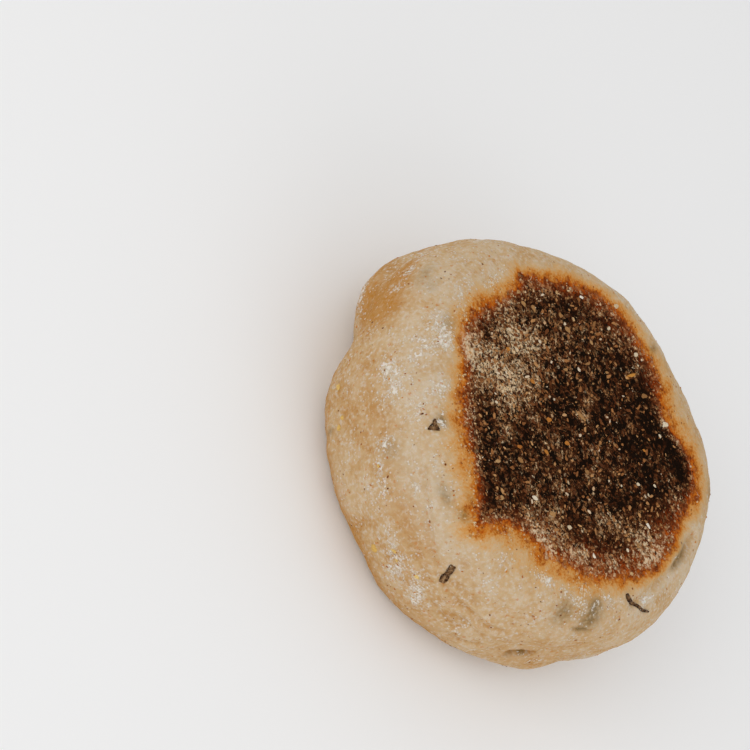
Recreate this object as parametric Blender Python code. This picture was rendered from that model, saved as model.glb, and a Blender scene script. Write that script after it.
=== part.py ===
"""An English muffin, griddled on both faces, lying on its underside.

Metres, +Z up. The origin is the middle of the flat underside, so the muffin stands on z = 0.

A place on the crust is told by two numbers. The azimuth is its compass direction round the
middle, in degrees from +X towards +Y. The climb is the distance along the crust from the widest
level, in metres: 0 is the widest level, SHOULDER the rim of the top face and CREST the middle of
the top face. Below the widest level the climb is negative.
"""

import math

import bmesh
import bpy
from mathutils import Vector
from mathutils.geometry import intersect_point_line

# Driving dimensions.
DIAMETER = 0.090
HEIGHT = 0.034
WIDEST_LEVEL = 0.47 * HEIGHT
FACE_RADIUS = 0.0325

# Distances along the crust from the widest level.
SHOULDER = 0.023
CREST = SHOULDER + FACE_RADIUS

# 1 gives an elliptical side, and less a squarer one.
SIDE_SQUARENESS = 0.84

# The crust is pressed from a cube: faces along one edge, and the latitude that becomes SHOULDER.
FACES_PER_EDGE = 28
SHOULDER_LATITUDE = math.radians(50)

# The dough spread unevenly: (waves round the rim, height of a wave, azimuth of one crest).
OUTLINE_WAVES = (
    (2, 0.0008, 17),
    (3, 0.0007, 69),
    (4, 0.0008, 9),
)

# The rim of each griddled face is a circle with corners and hollows:
# (azimuth, outward reach, half-width in degrees).
TOP_FACE_CORNERS = (
    (279, 0.0045, 12),
    (207, 0.0020, 14),
    (166, 0.0008, 16),
    (120, 0.0014, 18),
    (80, -0.0030, 16),
    (52, 0.0024, 14),
    (350, 0.0010, 20),
)
UNDER_FACE_CORNERS = (
    (24, 0.0010, 22),
    (95, -0.0028, 20),
    (152, 0.0006, 20),
    (208, -0.0030, 18),
    (262, 0.0008, 24),
    (318, -0.0024, 20),
)

# Broad swellings and dents: (azimuth, climb, half-width round, half-width up, rise).
SWELLS = (
    (181, 0.001, 0.007, 0.006, 0.0007),
    (190, -0.005, 0.009, 0.005, 0.0013),
    (211, -0.009, 0.007, 0.008, -0.0024),
    (230, -0.009, 0.008, 0.008, 0.0009),
    (248, -0.012, 0.014, 0.006, 0.0008),
    (264, 0.003, 0.014, 0.006, 0.0006),
    (292, -0.010, 0.010, 0.007, 0.0009),
    (316, -0.010, 0.010, 0.006, 0.0008),
    (336, -0.007, 0.0055, 0.0055, 0.0011),
    (346, 0.000, 0.008, 0.009, -0.0013),
    (19, 0.009, 0.012, 0.008, -0.0004),
    (64, 0.006, 0.014, 0.012, 0.0010),
    (100, 0.009, 0.011, 0.010, -0.0012),
    (135, -0.004, 0.016, 0.010, 0.0009),
    (160, 0.008, 0.016, 0.010, -0.0008),
)

# Folds, where the dough was tucked in: the places they pass, half-width and depth.
FOLDS = (
    (((180, 0.004), (193, -0.001), (203, -0.003), (211, -0.005), (216, -0.014)), 0.0030, 0.0022),
    (((252, 0.0085), (268, 0.008), (283, 0.007), (300, 0.006), (316, 0.007)), 0.0026, 0.0008),
    (((322, 0.000), (334, 0.002)), 0.0028, 0.0012),
    (((-4, 0.017), (12, 0.019), (34, 0.020)), 0.0018, 0.0006),
    (((72, 0.004), (88, 0.000), (108, -0.002)), 0.0026, 0.0012),
)

CRUST_COLOUR = (0.52, 0.36, 0.20, 1.0)
CRUST_ROUGHNESS = 0.75


def clear_scene():
    for thing in list(bpy.data.objects):
        bpy.data.objects.remove(thing, do_unlink=True)


def turn_between(azimuth, other):
    """Degrees from other to azimuth, between -180 and 180."""
    return (azimuth - other + 180) % 360 - 180


def bell(share):
    """1 at 0, falling smoothly to almost nothing at 2."""
    return math.exp(-share * share)


def outline_radius(azimuth):
    """Distance from the middle to the widest level."""
    waves = (
        height * math.cos(math.radians(count * (azimuth - crest)))
        for count, height, crest in OUTLINE_WAVES
    )
    return DIAMETER / 2 + sum(waves)


def face_radius(azimuth, corners):
    """Distance from the middle to the rim of a griddled face."""
    reaches = (
        reach * bell(turn_between(azimuth, corner) / half_width)
        for corner, reach, half_width in corners
    )
    return FACE_RADIUS + sum(reaches)


def plain_crust(azimuth, climb):
    """The crust before its swells and folds: a flat face, a rounded side and a flat face."""
    above = climb > 0
    rim = face_radius(azimuth, TOP_FACE_CORNERS if above else UNDER_FACE_CORNERS)
    rise = HEIGHT - WIDEST_LEVEL if above else -WIDEST_LEVEL
    if abs(climb) > SHOULDER:
        reach = rim * (CREST - abs(climb)) / (CREST - SHOULDER)
        share = 1.0
    else:
        bend = abs(climb) / SHOULDER * math.pi / 2
        reach = rim + (outline_radius(azimuth) - rim) * math.cos(bend) ** SIDE_SQUARENESS
        share = math.sin(bend) ** SIDE_SQUARENESS
    turn = math.radians(azimuth)
    return Vector((reach * math.cos(turn), reach * math.sin(turn), WIDEST_LEVEL + rise * share))


def unrolled(azimuth, climb):
    """A place on the side, with the side unrolled into a plane."""
    return Vector((math.radians(azimuth) * DIAMETER / 2, climb, 0.0))


def swell_height(azimuth, climb):
    total = 0.0
    for centre, level, half_round, half_up, rise in SWELLS:
        away = unrolled(turn_between(azimuth, centre), climb - level)
        total += rise * bell(math.hypot(away.x / half_round, away.y / half_up))
    return total


def fold_depth(azimuth, climb):
    """How far the folds draw the crust in."""
    total = 0.0
    for places, half_width, depth in FOLDS:
        first_azimuth = places[0][0]
        here = unrolled(first_azimuth + turn_between(azimuth, first_azimuth), climb)
        corners = [unrolled(*place) for place in places]
        gaps = []
        for start, end in zip(corners, corners[1:]):
            nearest, share = intersect_point_line(here, start, end)
            if share < 0:
                nearest = start
            elif share > 1:
                nearest = end
            gaps.append((nearest - here).length)
        total += depth * bell(min(gaps) / half_width)
    return total


def pressed_cube():
    """A cube's faces, cut into a grid whose lines stand at even angles from the middle."""
    mesh = bmesh.new()
    bmesh.ops.create_cube(mesh, size=2)
    bmesh.ops.subdivide_edges(
        mesh, edges=mesh.edges[:], cuts=FACES_PER_EDGE - 1, use_grid_fill=True
    )
    for vertex in mesh.verts:
        evened = (math.tan(share * math.pi / 4) for share in vertex.co)
        vertex.co = Vector(evened).normalized()
    return mesh


def climb_at(latitude):
    """The climb that a latitude on the ball becomes."""
    size = abs(latitude)
    if size < SHOULDER_LATITUDE:
        climb = SHOULDER * size / SHOULDER_LATITUDE
    else:
        share = (size - SHOULDER_LATITUDE) / (math.pi / 2 - SHOULDER_LATITUDE)
        climb = SHOULDER + (CREST - SHOULDER) * share
    return math.copysign(climb, latitude)


def centre_over_origin(mesh):
    """Puts the middle of the muffin's width and depth over the origin."""
    for axis in (0, 1):
        reaches = [vertex.co[axis] for vertex in mesh.verts]
        middle = (min(reaches) + max(reaches)) / 2
        for vertex in mesh.verts:
            vertex.co[axis] -= middle


def crust_mesh():
    mesh = pressed_cube()
    places = {}
    for vertex in mesh.verts:
        latitude = math.asin(max(-1.0, min(1.0, vertex.co.z)))
        azimuth = math.degrees(math.atan2(vertex.co.y, vertex.co.x))
        places[vertex] = (azimuth, climb_at(latitude))
        vertex.co = plain_crust(*places[vertex])
    mesh.normal_update()
    outward = {vertex: vertex.normal.copy() for vertex in mesh.verts}
    for vertex, place in places.items():
        vertex.co += outward[vertex] * (swell_height(*place) - fold_depth(*place))
        vertex.co.z = max(vertex.co.z, 0.0)
    centre_over_origin(mesh)
    bmesh.ops.triangulate(mesh, faces=mesh.faces[:])
    finished = bpy.data.meshes.new("english_muffin")
    mesh.to_mesh(finished)
    mesh.free()
    finished.shade_smooth()
    return finished


def crust_material():
    material = bpy.data.materials.new("griddled_dough")
    material.use_nodes = True
    shader = material.node_tree.nodes["Principled BSDF"]
    shader.inputs["Base Color"].default_value = CRUST_COLOUR
    shader.inputs["Roughness"].default_value = CRUST_ROUGHNESS
    shader.inputs["Metallic"].default_value = 0.0
    return material


def build_muffin():
    clear_scene()
    pieces = bpy.data.collections.new("english_muffin")
    bpy.context.scene.collection.children.link(pieces)
    crust = crust_mesh()
    crust.materials.append(crust_material())
    pieces.objects.link(bpy.data.objects.new("english_muffin", crust))


build_muffin()
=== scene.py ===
"""A herb English muffin, griddled on both faces: its looks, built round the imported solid.

It lies on z = 0 with its browned face up. Lengths are in metres, or in millimetres where a name or
a comment says so. A place on the side is told by its azimuth, in degrees from +X towards +Y, and
its latitude, seen from the middle of the loaf. A place on a griddled face is told by its x and y.
"""

import math

import bmesh
import bpy
import numpy as np
from mathutils import Matrix, Vector, noise
from mathutils.bvhtree import BVHTree


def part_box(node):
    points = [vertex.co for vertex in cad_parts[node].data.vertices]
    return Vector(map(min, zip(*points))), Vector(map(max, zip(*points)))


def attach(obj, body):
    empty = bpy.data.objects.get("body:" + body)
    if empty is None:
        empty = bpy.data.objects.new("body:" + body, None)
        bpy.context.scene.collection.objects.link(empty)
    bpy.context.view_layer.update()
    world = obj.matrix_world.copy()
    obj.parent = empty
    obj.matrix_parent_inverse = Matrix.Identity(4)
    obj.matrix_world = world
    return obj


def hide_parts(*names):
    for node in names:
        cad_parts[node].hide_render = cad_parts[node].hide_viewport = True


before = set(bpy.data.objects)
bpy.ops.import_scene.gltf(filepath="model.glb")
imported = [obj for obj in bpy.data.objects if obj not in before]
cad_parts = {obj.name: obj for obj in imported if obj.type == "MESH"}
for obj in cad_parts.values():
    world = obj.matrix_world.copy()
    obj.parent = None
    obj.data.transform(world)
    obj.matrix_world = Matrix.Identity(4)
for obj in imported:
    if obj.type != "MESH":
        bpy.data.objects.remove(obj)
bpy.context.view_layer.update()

MM = 0.001
LOAF = "english_muffin"
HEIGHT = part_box(LOAF)[1].z
MIDDLE = Vector((0.0, 0.0, HEIGHT / 2))

# ----------------------------------------
# The crust's marks. Every list is in millimetres and degrees, and a strength is a share.

# Rims of the scorched patches, where the dough lay on the griddle: (x, y) corners.
TOP_SCORCH = (
    (8.5, -39.5), (9.7, -33.2), (13.3, -28.6), (18.3, -25.8), (24.5, -21), (29, -15), (33.6, -5),
    (34.6, 4), (31.4, 12.2), (26.8, 21), (23.2, 27.1), (17, 28.5), (8, 25.5), (3, 29.5), (-8, 31),
    (-17.8, 27.6), (-25.4, 20.4), (-29.8, 8), (-32.5, 4.8), (-30, 2), (-29, -6), (-29, -17),
    (-20, -23), (-12, -29.5), (0, -33), (5, -36),
)
UNDER_SCORCH = (
    (28, -4), (27, 9), (20, 17), (13, 25), (1, 25), (-8, 28), (-18, 23), (-26, 13), (-24, 2),
    (-25, -9), (-18, -20), (-6, -24), (4, -29), (15, -25), (23, -16),
)

# Around each rim: (azimuth, width of the gold band outside it, width of the rust band inside).
TOP_BANDS = (
    (0, 1.7, 6), (15, 1.5, 6), (30, 1.7, 4), (45, 2.8, 1.6), (59, 3.2, 0.9), (72, 4.6, 1.2),
    (88, 4, 2.6), (104, 2, 3.6), (120, 2.1, 4), (135, 1.7, 3.3), (150, 2.5, 2.5), (166, 2, 2.3),
    (181, 2.4, 2.5), (198, 3.4, 2.2), (213, 2.8, 3), (229, 2.1, 3), (245, 3.1, 2.5),
    (261, 4.2, 1.5), (274, 3.6, 1.2), (285, 4.2, 1.6), (300, 4.4, 4), (315, 4.2, 4.8),
    (330, 3.6, 5), (346, 2.2, 5),
)
UNDER_BANDS = ((0, 4, 2.5), (90, 5.5, 1.5), (160, 3.5, 3.5), (230, 6, 2), (300, 3.5, 3))

# Browned meal lying on the scorched face, and bare black places: (x, y, half-widths, strength).
MEAL_CLOUDS = (
    (-22, -6, 3, 4, 0.5), (-24, -12, 2.5, 5, 0.08), (-18, -1, 4, 3.5, 0.45),
    (-13, -12, 5, 4, 0.55), (-19, -15, 4, 3, 0.6), (-16, -7, 5, 4, 0.36), (-10, -17, 3, 3, 0.4),
    (-8, -8, 4, 4, 0.22), (-5, -20.5, 2, 2.5, 0.45), (-4.5, -11, 1.6, 2.2, 0.35),
    (-15, -20, 3, 3, 0.18), (-22, -20, 4, 2.5, 0.5), (2, -9, 2, 4, 0.12),
    (-2.5, 6.5, 1.2, 2.5, 0.4), (-0.5, 2.5, 1.4, 1.8, 0.6), (-17, 10, 2, 3, 0.18),
    (-15, 18, 3, 2, 0.14), (-12, 6, 3, 4, 0.12), (-7, 12, 1.4, 3, 0.16), (-3.5, 23, 1.2, 2.5, 0.3),
    (6.5, 16, 1.5, 3, 0.14), (7, 4, 1.2, 4, 0.2), (11, -1, 2, 3, 0.2), (9, -20.5, 2, 2, 0.32),
    (10.5, -12.5, 2, 1.6, 0.3), (14, -16.5, 2, 3, 0.4), (15, -25, 3, 2, 0.34),
    (20, -24, 3, 2, 0.35), (21.5, -4, 2.5, 3.5, 0.42), (24, 0, 4, 3, 0.06), (28, 4, 2.5, 4, 0.28),
    (32, 4, 2, 6, 0.5), (24.5, -16, 2.5, 2.5, 0.26), (28, -9, 2, 3, 0.14), (18, -9, 2, 3, 0.1),
    (29.5, -14, 2, 3, 0.2), (24.5, -20, 3, 2, 0.15), (10, 21, 5, 4, -0.25), (18, 24, 4, 3, -0.26),
    (13, 13, 5, 4, -0.1), (20, 6, 3, 4, -0.15), (3.5, 1.5, 2, 2.5, -0.12), (-10, -23, 4, 2, -0.12),
    (4, -33, 3, 3, -0.2), (0, 20, 5, 4, -0.06), (-22, 14, 3, 4, -0.24), (-21, 4, 9, 15, 0.1),
    (17, -21, 7, 4, 0.1), (-15, -9, 4, 3, -0.25), (-20, -15, 3, 3, 0.3), (5, 0, 2, 2, 0.28),
    (20, -5, 2, 2, 0.22), (-10, -5, 3, 2, 0.15), (0, 25, 5, 3, -0.25), (15, 5, 3, 3, -0.05),
    (-20, 19, 4, 3, -0.1), (0, 10, 3, 3, -0.14), (-15, 0, 3, 2, -0.22), (-5, -10, 2, 2, -0.2),
    (-25, -19, 3, 2, 0.35), (9.5, 25, 2, 1.5, 0.25), (10, 12, 2, 5, -0.12), (-8, 20, 4, 3, -0.15),
    (15, 18, 2.5, 3, 0.08), (-18, 15.5, 3.5, 2, 0.14), (25, 11, 3, 6, -0.22),
    (24, -6, 3, 3, -0.22), (-5, -5, 3, 2.5, -0.18), (4, -16, 6, 3, 0.1), (5, -20, 3, 2.5, 0.12),
    (-15, -16, 3, 3, 0.08), (-24, -14, 2.5, 2.5, -0.2), (-12, -4, 4, 2, 0.16),
    (15, -14, 2.5, 2.5, -0.25), (20, -15, 2.5, 2, -0.12), (17, -27, 3, 2, -0.14),
    (26, -20, 2, 2, -0.15), (-26, 15, 2.5, 3, -0.18), (-20, 21, 3, 2, -0.1),
    (25, 15, 2.5, 2.5, -0.15), (10, 0, 2, 2, 0.12), (22, -11, 3, 3, -0.16), (6, -30, 3, 2.5, 0.16),
    (16, 22, 3, 3, 0.07),
)
TOASTED_SPOTS = ((26.5, 25, 0.9, 1.5, 0.75), (-32, 4.5, 1, 0.8, 1), (33.5, -9, 1, 2, 0.4))

# Single grains on the scorched face: (x, y, length, width, turn).
PALE_GRAINS = (
    (9.5, 25.5, 1.7, 1.1, 70), (11, 22.5, 0.9, 0.6, 20), (17.5, 9.5, 0.9, 0.7, 60),
    (20.5, 11, 0.8, 0.5, 0), (16, 4.5, 0.5, 0.5, 0), (19.5, 14, 0.9, 0.5, 30),
    (26, 6.5, 1.3, 0.7, 10), (28, -2.5, 0.9, 0.7, 0), (25.5, -12.5, 1.2, 0.7, 0),
    (9.5, -21, 1.3, 0.9, 40), (18, -15.5, 1.1, 0.9, 30), (-18, 1, 0.9, 0.7, 0),
    (-19, 10.5, 0.7, 0.7, 0), (-23, -6, 1.2, 1, 60), (-11, -19, 0.8, 0.6, 0),
    (-17.5, 28, 1.3, 1, 90), (-16.5, 31.5, 1, 0.8, 0), (-14, 22.5, 1.3, 0.8, -60),
    (-6.5, 27, 1.3, 0.9, 80), (-22.5, 19, 1.2, 0.7, 60),
)
TAN_GRAINS = (
    (-29, 1.5, 1.3, 0.8, 70), (-26.5, 1.5, 1.4, 0.8, 20), (-24.5, 3.5, 1.6, 1, 0),
    (-21, 10.5, 1.2, 1, 45), (-17.5, 2.5, 1, 0.8, 0), (-17.5, 10.5, 1.8, 0.9, 30),
    (-19, 13.5, 0.9, 0.8, 0), (-13, 15.5, 1, 0.8, 0), (-25.5, 12.5, 1, 0.8, 0),
    (-0.5, -26, 1.2, 0.8, 70), (1.5, -20, 1.3, 1, 0), (14, -18.5, 1.6, 1.1, 40),
    (-10.5, 4.5, 1.2, 0.7, 75), (-9.5, 11.5, 1.4, 0.6, 80), (-0.5, 2.5, 3.2, 0.8, 14),
    (-16, 18.5, 2.4, 0.6, -53), (10, -3.5, 1.2, 1, 0), (25, 6.5, 1, 0.7, 30),
    (28.5, 1, 0.9, 0.8, 0), (32.5, -4.5, 1, 0.7, 60), (2, 23.5, 1.4, 0.9, 80),
    (6, -30, 1.9, 1.1, 60), (8, 8, 0.9, 0.6, 10), (-6, 16, 1, 0.7, 60),
)
GOLD_GRAINS = (
    (-19.5, -9, 1, 0.9, 0), (-11.5, -6.5, 1.3, 0.9, 60), (-3, -7, 1.3, 1, 80),
    (-1, -18.5, 1.3, 0.8, 70), (2.5, -12, 1.2, 1, 30), (3, -5, 1.4, 0.9, 60),
    (-3, 22.5, 3.2, 0.9, 90), (12, 16, 0.9, 0.6, 20),
)
# Bits of yellow maize meal on the side: (azimuth, latitude, length, width, turn).
MAIZE_GRAINS = (
    (231, -9, 1.6, 1, 20), (240, -8, 1.1, 0.8, 70), (242.5, -9.5, 1.3, 0.9, 0),
    (276, -8.5, 1.7, 1.5, 0), (278.5, -2, 1.2, 0.8, 50), (257, 3.5, 0.8, 0.7, 0),
    (287, 0, 1.2, 0.9, 30), (281, -3, 0.8, 0.6, 0), (96, 2, 1.2, 0.8, 10), (35, -7, 1, 0.8, 40),
    (120, -10, 1.3, 0.9, 80), (168, 3, 0.9, 0.7, 0),
)

# Marks on the side: (azimuth, latitude, half-width round, half-width up, strength).
# Warm tan where the side baked browner; the marks at 323.5 and 326.3 degrees are painted shade in
# the pocket fold.
WARM_AND_SHADED_PLACES = (
    (206, -2, 5, 5, 1.2), (211, 3, 3.5, 3, 0.9), (202, 4, 4, 3.5, 1), (198, 7.5, 3, 2, 0.8),
    (212, -6, 3, 3, 0.8), (210.5, 10.7, 4, 4, 0.35), (197.6, -7.5, 4, 3, 0.5),
    (208, 7.5, 3.5, 3, 0.55), (213, 8.2, 2.5, 2.5, 0.45), (203, 10, 3.5, 2, 0.5),
    (203, -8, 3.5, 3, 0.8), (193, 6, 5, 2.5, 0.5), (216, 5, 2.5, 2.5, 0.4), (190, -9, 7, 3, 0.5),
    (250, -18, 16, 2.4, 0.8), (282, -17, 14, 2.4, 0.8), (306, -16, 10, 2.4, 0.5),
    (262, 6, 12, 3, 0.3), (240, 4, 8, 4, 0.25), (236, -5, 5, 3, 0.35), (268, 1, 4, 2, 0.2),
    (276, 8, 7, 2, 0.35), (332, 12, 16, 9, 0.18), (330, 23.8, 2.4, 1.2, 0.8),
    (282, 0, 2.5, 1.8, 0.45), (287, -3, 2, 2, 0.5), (330, -6, 8, 4, 0.3), (323.5, -3, 4, 3, 0.3),
    (326.3, -0.8, 1.8, 1.3, 0.7), (298, -10, 5, 3, 0.3), (15, 8, 10, 5, 0.4), (48, 14, 9, 5, 0.5),
    (70, 10, 9, 5, 0.4), (95, -4, 10, 4, 0.6), (130, 2, 8, 4, 0.35), (160, -8, 12, 4, 0.5),
    (40, -12, 14, 4, 0.6),
)
PALE_PLACES = ((264, 14, 12, 6, 1), (284, 15, 9, 5, 0.8), (233, 19, 8, 5, 0.6))
FLOUR_PLACES = (
    (290, -3, 2.2, 1.6, 1.1), (293, -6, 1.8, 1.2, 1.2), (287, 0, 1.6, 1, 0.8),
    (284, -6, 3.6, 2.4, 0.7), (280, -2, 2.4, 1.8, 0.6), (275, -1, 2.4, 1.3, 0.5),
    (263, 4, 3, 1.5, 0.5), (262, -1, 2.6, 2, 0.5), (257, 4, 2.2, 1.2, 0.8), (252, 7, 1.4, 1, 1.1),
    (234, 12, 3.4, 2.2, 0.9), (230, 9, 3, 1.6, 0.6), (240, 10, 2.4, 2.6, 0.5),
    (221, 24.5, 3, 1.8, 1.2), (226, 19, 3.4, 2.4, 0.8), (216, 22, 2, 2, 0.8),
    (239, 24, 2, 1.5, 0.9), (244, 19, 3, 2, 0.4), (310, 24, 2.5, 1, 0.8), (313, 21, 1.8, 1.2, 0.5),
    (296, 22, 1.6, 1.2, 0.8), (338, 24, 2.6, 1.2, 0.9), (328, 25, 2.2, 1.2, 0.8),
    (332.4, 21.8, 0.9, 1.3, 0.6), (356, 22.3, 2.6, 1, 1), (17, 24.6, 1.2, 0.8, 1),
    (204, 25, 5, 2, 0.55), (326, 22.6, 4, 1.2, 0.6), (316, 23.4, 3.5, 1.2, 0.6),
    (186, 26.5, 4, 1.4, 0.5), (251.4, 23, 0.7, 0.8, 1.5), (249.6, 22.8, 0.5, 0.6, 1),
    (247.6, 24, 1, 0.7, 0.9), (266, 12, 1.2, 0.8, 0.8), (272, 14, 0.8, 1.6, 0.7),
    (262, 20, 2, 1.2, 0.4), (196, -11, 8, 1.2, 0.9), (199, 9, 3, 1, 0.8), (205, 7, 1.6, 1.6, 0.7),
    (191, 9, 2.5, 1, 0.9), (187, 1, 5, 2, 0.8), (60, 0, 6, 4, 0.6), (110, 8, 5, 3, 0.6),
    (146, -4, 7, 3, 0.6), (20, -6, 6, 3, 0.5), (172, 14, 5, 3, 0.4), (352, -4, 5, 3, 0.4),
)
HERBS_UNDER_SKIN = (
    (322.7, 19.2, 2.2, 2.8, 0.85), (333, 22.6, 1.8, 1.6, 1.1), (332.6, 19.4, 2.3, 2.4, 1.15),
    (332, 15.8, 1.7, 0.6, 1.4), (326.6, -1.5, 1.5, 1.1, 1.6), (324.3, -4.6, 0.9, 1.2, 0.6),
    (21, 23.6, 2.8, 1.1, 1.5), (15, 23.4, 1.6, 0.6, 0.8), (100, 26, 1, 1.8, 0.8),
    (216, 24.5, 2.4, 1.6, 0.55), (271, 19, 2.6, 1.2, 0.7), (278, 21, 1.4, 1, 0.9),
    (276, 24, 1.8, 0.8, 0.5), (249.5, 23.2, 1.2, 1, 0.7), (201, 14.5, 3.4, 1.6, 0.5),
    (205, 18, 2.2, 1.4, 0.35), (250, 23, 1.4, 1.4, 0.5), (254, 8, 2, 2, 0.45),
    (242, -14, 0.7, 1.6, 0.7), (130, 6, 2.6, 1.8, 0.6), (76, -3, 2.4, 1.6, 0.6),
    (160, 5, 1.6, 2.4, 0.5), (50, 20, 2.2, 1.2, 0.5),
)

# Chopped chives on the crust: (name, route as azimuth and latitude, widths along it).
CHIVES = (
    ("chive_on_side", ((288.8, 10.6), (290, 7.7), (291, 4.9)), (1.2, 1.5, 1.4, 1.2, 1.6, 1.7, 1.3)),
    (
        "chive_at_rim",
        ((346.8, 24.8), (347.1, 23.9), (348.3, 23), (350.1, 22), (353.3, 20.8), (357.2, 19.4)),
        (0.7, 1.2, 1.1, 0.9, 0.8, 0.6, 0.3),
    ),
    (
        "chive_on_shoulder",
        ((249, 21.7), (250.6, 21.3), (252.4, 20.9)),
        (0.4, 0.8, 0.7, 1.6, 2.3, 2.5),
    ),
    ("chive_at_back", ((58, 9), (62, 7), (65, 3)), (0.9, 1.3, 1.3, 0.8)),
    ("chive_on_far_side", ((137, -2), (133, -4), (130, -4)), (1.0, 1.2, 0.9)),
    ("chive_by_lobe", ((168, -6), (172, -4), (174, -1)), (1.1, 1.2, 0.6)),
)

# Folds and wrinkles finer than the solid's: (places as azimuth and latitude), half-width, depth.
WRINKLES = (
    (((187, -4), (193, -5), (198, -6), (203, -8), (208, -12)), 0.9, 0.12),
    (((262, 16), (268, 14), (275, 11.8), (280, 9.6), (286, 7.5)), 0.8, 0.38),
    (((292, 5), (298, 4), (302, 4.6), (308, 4.1), (313, 5.5)), 0.7, 0.42),
    (((289, 6), (293, 7.5), (297, 8), (302, 7.5)), 0.6, 0.26),
    (((305, -8), (310, -7), (314, -4)), 0.7, 0.35),
    (((301, 0), (306, 1), (311, 0)), 0.7, 0.28),
    (((276, 17), (278, 19), (280, 21), (282, 23)), 0.5, 0.30),
    (((324, -3.2), (326.2, -1.4), (329.5, -1)), 0.8, 1.0),
    (((329, 15.6), (333, 15.2), (336, 16)), 0.5, 0.40),
    (
        (
            (349, 22.5), (353, 23.1), (357, 23.8), (5, 24.2),
            (11, 24), (17, 23.5), (24, 22.8), (31, 22.6),
        ),
        0.8,
        0.60,
    ),
    (((295, -2), (301, -3), (306, -2)), 0.7, 0.22),
    (((249, 0), (253, 2), (258, 1)), 0.8, 0.18),
    (((76, 3), (88, -1), (98, -4), (108, -3)), 1.0, 0.45),
    (((140, 10), (148, 8), (156, 9)), 0.8, 0.25),
)


# ----------------------------------------
# Small tools.


def rgb(code):
    """A linear colour from its sRGB hex code."""
    linear = []
    for place in (1, 3, 5):
        part = int(code[place : place + 2], 16) / 255
        linear.append(part / 12.92 if part <= 0.04045 else ((part + 0.055) / 1.055) ** 2.4)
    return (*linear, 1.0)


def place_object(name, mesh):
    piece = bpy.data.objects.new(name, mesh)
    bpy.context.scene.collection.objects.link(piece)
    return piece


def mesh_of(shape, name):
    """The mesh of a finished bmesh, which is freed."""
    mesh = bpy.data.meshes.new(name)
    shape.to_mesh(mesh)
    shape.free()
    return mesh


def finished_mesh(piece, name):
    """The mesh that a piece's modifiers make, as a plain mesh; the piece itself is removed."""
    graph = bpy.context.evaluated_depsgraph_get()
    mesh = bpy.data.meshes.new_from_object(piece.evaluated_get(graph))
    mesh.name = name
    bpy.data.objects.remove(piece, do_unlink=True)
    return mesh


def vectors(items, field):
    """A vector field of a mesh's items, one row for each."""
    flat = np.empty(len(items) * 3)
    items.foreach_get(field, flat)
    return flat.reshape(-1, 3)


def set_places(mesh, places):
    """Moves a mesh's vertices to their new places, or up to z = 0 where those are lower."""
    places[:, 2] = np.maximum(places[:, 2], 0.0)
    mesh.vertices.foreach_set("co", places.ravel())
    mesh.update()


def paint(mesh, name, values):
    """Keeps one number for each vertex, for a material or a scatter to read."""
    layer = mesh.attributes.new(name, "FLOAT", "POINT")
    layer.data.foreach_set("value", np.asarray(values, float))


def ease(values, start, end):
    """0 up to the start and 1 from the end on, with a soft slope between them."""
    share = np.clip((values - start) / (end - start), 0.0, 1.0)
    return share * share * (3 - 2 * share)


def ripple(places, size, seed):
    """Smooth noise from about -1 to 1 at each place, with lumps of the given size."""
    decay, step, octaves = 1.0, 2.0, 2
    shift = Vector((seed * 7.3, seed * 3.1, seed * 5.7))
    spots = (Vector(place) / size + shift for place in places)
    return np.array([noise.fractal(spot, decay, step, octaves) for spot in spots])


def gap_to_line(places, start, end):
    """Distance from each place to the straight line between two points."""
    way = end - start
    share = np.clip((places - start) @ way / (way @ way), 0, 1)
    return np.linalg.norm(places - start - share[:, None] * way, axis=1)


# ----------------------------------------
# Places on the crust.

# Rays start well outside the muffin: from beside it, and from over its browned face.
BESIDE = 0.2
OVERHEAD = 0.02
CORNER_CUTS = 3


def tree_of(mesh):
    """The mesh's triangles, ready to be asked for the nearest point or hit by a ray."""
    mesh.calc_loop_triangles()
    corners = [vertex.co.copy() for vertex in mesh.vertices]
    faces = [tuple(triangle.vertices) for triangle in mesh.loop_triangles]
    return BVHTree.FromPolygons(corners, faces)


def on_side(skin, azimuth, latitude):
    """The point of the skin at an azimuth and latitude seen from the middle, and its normal."""
    turn, tilt = math.radians(azimuth), math.radians(latitude)
    flat = math.cos(tilt)
    aim = Vector((flat * math.cos(turn), flat * math.sin(turn), math.sin(tilt)))
    point, normal, _, _ = skin.ray_cast(MIDDLE + aim * BESIDE, -aim)
    return point, normal


def on_face(skin, x, y):
    """The point of the browned face at (x, y) millimetres, and its normal."""
    above = Vector((x * MM, y * MM, HEIGHT + OVERHEAD))
    point, normal, _, _ = skin.ray_cast(above, Vector((0, 0, -1)))
    return point, normal


def side_marks(places, skin, marks):
    """The sum of soft spots on the side."""
    total = np.zeros(len(places))
    for azimuth, latitude, half_round, half_up, strength in marks:
        centre, normal = on_side(skin, azimuth, latitude)
        turn = math.radians(azimuth)
        round_way = Vector((-math.sin(turn), math.cos(turn), 0))
        up_way = normal.cross(round_way).normalized()
        away = places - np.array(centre)
        spread = (away @ np.array(round_way) / (half_round * MM)) ** 2
        spread += (away @ np.array(up_way) / (half_up * MM)) ** 2
        spread += (away @ np.array(normal) / (max(half_round, half_up) * MM)) ** 2
        total += strength * np.exp(-spread)
    return total


def face_marks(places, marks):
    """The sum of soft spots on a griddled face."""
    total = np.zeros(len(places))
    for x, y, half_x, half_y, strength in marks:
        spread = ((places[:, 0] / MM - x) / half_x) ** 2 + ((places[:, 1] / MM - y) / half_y) ** 2
        total += strength * np.exp(-spread)
    return total


def rounded(corners):
    """A closed line with its corners cut again and again."""
    line = np.array(corners, float) * MM
    for _ in range(CORNER_CUTS):
        following = np.roll(line, -1, axis=0)
        cuts = (0.75 * line + 0.25 * following, 0.25 * line + 0.75 * following)
        line = np.stack(cuts, axis=1).reshape(-1, 2)
    return line


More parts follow.
